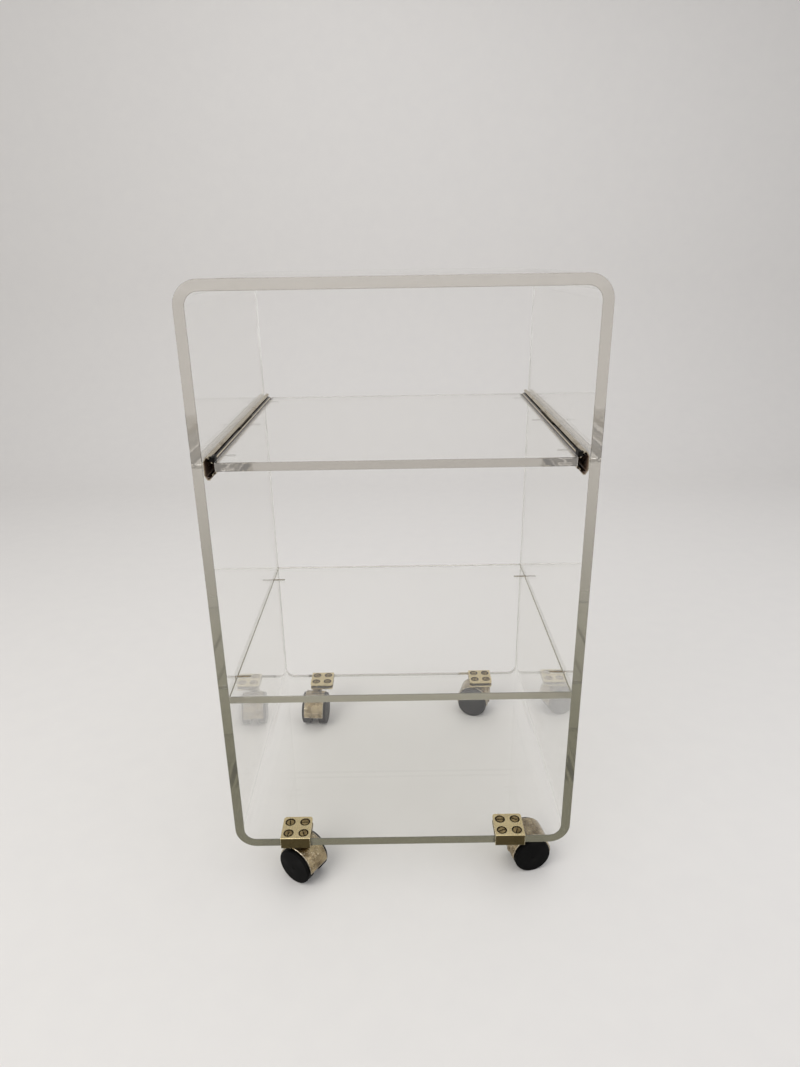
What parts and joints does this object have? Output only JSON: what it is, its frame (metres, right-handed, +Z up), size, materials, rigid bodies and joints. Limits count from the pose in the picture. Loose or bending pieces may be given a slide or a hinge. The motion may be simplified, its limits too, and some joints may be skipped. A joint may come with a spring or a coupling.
{
  "type": "serving trolley",
  "caption": "Clear acrylic rolling cart: a bent loop open front and back, with a fixed shelf, a pull-out shelf on ball slides, and hooded twin-wheel casters on brass clips.",
  "frame": {"origin": "on the floor under the middle of the acrylic loop", "axes": "+Z up, the open front faces -Y, +X to the right of someone who stands in front of it"},
  "size_m": [0.44, 0.4223, 0.7693],
  "materials": {
    "acrylic": "clear cast acrylic, polished edges",
    "clip_brass": "satin, slightly tarnished",
    "hood_brass": "polished, aged and scratched",
    "screw_brass": "tarnished, slotted heads",
    "slide_metal": "brass-plated roll-formed steel",
    "steel": "bright turned steel",
    "wheel_black": "black nylon, satin",
    "buffer_black": "black moulded plastic"
  },
  "bodies": {
    "frame": {"shell": "acrylic", "fixed_shelf": "acrylic", "shelf_screws_left": "screw_brass", "slide_channel_left": "slide_metal", "slide_screws_left": "screw_brass", "shelf_screws_right": "screw_brass", "slide_channel_right": "slide_metal", "slide_screws_right": "screw_brass", "clip_front_left": "clip_brass", "clip_screws_front_left": "screw_brass", "pintle_front_left": "steel", "thrust_washer_front_left": "steel", "pintle_ring_front_left": "steel", "clip_front_right": "clip_brass", "clip_screws_front_right": "screw_brass", "pintle_front_right": "steel", "thrust_washer_front_right": "steel", "pintle_ring_front_right": "steel", "clip_rear_left": "clip_brass", "clip_screws_rear_left": "screw_brass", "pintle_rear_left": "steel", "thrust_washer_rear_left": "steel", "pintle_ring_rear_left": "steel", "clip_rear_right": "clip_brass", "clip_screws_rear_right": "screw_brass", "pintle_rear_right": "steel", "thrust_washer_rear_right": "steel", "pintle_ring_rear_right": "steel"},
    "pullout": {"pullout_shelf": "acrylic", "slide_runner_left": "slide_metal", "runner_screws_left": "steel", "stop_buffer_left": "buffer_black", "slide_runner_right": "slide_metal", "runner_screws_right": "steel", "stop_buffer_right": "buffer_black"},
    "ball_cage_left": {"ball_cage_left": "slide_metal", "slide_balls_left": "steel"},
    "ball_cage_right": {"ball_cage_right": "slide_metal", "slide_balls_right": "steel"},
    "swivel_front_left": {"hood_front_left": "hood_brass", "axle_front_left": "steel"},
    "wheel_a_front_left": {"wheel_a_front_left": "wheel_black"},
    "wheel_b_front_left": {"wheel_b_front_left": "wheel_black"},
    "swivel_front_right": {"hood_front_right": "hood_brass", "axle_front_right": "steel"},
    "wheel_a_front_right": {"wheel_a_front_right": "wheel_black"},
    "wheel_b_front_right": {"wheel_b_front_right": "wheel_black"},
    "swivel_rear_left": {"hood_rear_left": "hood_brass", "axle_rear_left": "steel"},
    "wheel_a_rear_left": {"wheel_a_rear_left": "wheel_black"},
    "wheel_b_rear_left": {"wheel_b_rear_left": "wheel_black"},
    "swivel_rear_right": {"hood_rear_right": "hood_brass", "axle_rear_right": "steel"},
    "wheel_a_rear_right": {"wheel_a_rear_right": "wheel_black"},
    "wheel_b_rear_right": {"wheel_b_rear_right": "wheel_black"}
  },
  "joints": [
    {"name": "pullout_slide", "type": "slide", "parent": "frame", "child": "pullout", "axis": [0, -1, 0], "range_m": [0, 0.27]},
    {"name": "cage_slide_left", "type": "slide", "parent": "frame", "child": "ball_cage_left", "axis": [0, -1, 0], "range_m": [0, 0.135]},
    {"name": "cage_slide_right", "type": "slide", "parent": "frame", "child": "ball_cage_right", "axis": [0, -1, 0], "range_m": [0, 0.135]},
    {"name": "swivel_front_left", "type": "hinge", "parent": "frame", "child": "swivel_front_left", "pos_m": [-0.1515, -0.174, 0.04], "axis": [0, 0, 1], "continuous": true},
    {"name": "wheel_a_front_left_spin", "type": "hinge", "parent": "swivel_front_left", "child": "wheel_a_front_left", "pos_m": [-0.13492, -0.18518, 0.025], "axis": [0.5592, 0.829, 0], "continuous": true},
    {"name": "wheel_b_front_left_spin", "type": "hinge", "parent": "swivel_front_left", "child": "wheel_b_front_left", "pos_m": [-0.13492, -0.18518, 0.025], "axis": [0.5592, 0.829, 0], "continuous": true},
    {"name": "swivel_front_right", "type": "hinge", "parent": "frame", "child": "swivel_front_right", "pos_m": [0.1515, -0.174, 0.04], "axis": [0, 0, 1], "continuous": true},
    {"name": "wheel_a_front_right_spin", "type": "hinge", "parent": "swivel_front_right", "child": "wheel_a_front_right", "pos_m": [0.17099, -0.1695, 0.025], "axis": [-0.225, 0.9744, 0], "continuous": true},
    {"name": "wheel_b_front_right_spin", "type": "hinge", "parent": "swivel_front_right", "child": "wheel_b_front_right", "pos_m": [0.17099, -0.1695, 0.025], "axis": [-0.225, 0.9744, 0], "continuous": true},
    {"name": "swivel_rear_left", "type": "hinge", "parent": "frame", "child": "swivel_rear_left", "pos_m": [-0.1515, 0.174, 0.04], "axis": [0, 0, 1], "continuous": true},
    {"name": "wheel_a_rear_left_spin", "type": "hinge", "parent": "swivel_rear_left", "child": "wheel_a_rear_left", "pos_m": [-0.15324, 0.15408, 0.025], "axis": [0.9962, -0.0872, 0], "continuous": true},
    {"name": "wheel_b_rear_left_spin", "type": "hinge", "parent": "swivel_rear_left", "child": "wheel_b_rear_left", "pos_m": [-0.15324, 0.15408, 0.025], "axis": [0.9962, -0.0872, 0], "continuous": true},
    {"name": "swivel_rear_right", "type": "hinge", "parent": "frame", "child": "swivel_rear_right", "pos_m": [0.1515, 0.174, 0.04], "axis": [0, 0, 1], "continuous": true},
    {"name": "wheel_a_rear_right_spin", "type": "hinge", "parent": "swivel_rear_right", "child": "wheel_a_rear_right", "pos_m": [0.13237, 0.17985, 0.025], "axis": [-0.2924, -0.9563, 0], "continuous": true},
    {"name": "wheel_b_rear_right_spin", "type": "hinge", "parent": "swivel_rear_right", "child": "wheel_b_rear_right", "pos_m": [0.13237, 0.17985, 0.025], "axis": [-0.2924, -0.9563, 0], "continuous": true}
  ],
  "couplings": [
    {"joint": "cage_slide_left", "follows": "pullout_slide", "ratio": 0.5},
    {"joint": "cage_slide_right", "follows": "pullout_slide", "ratio": 0.5}
  ]
}
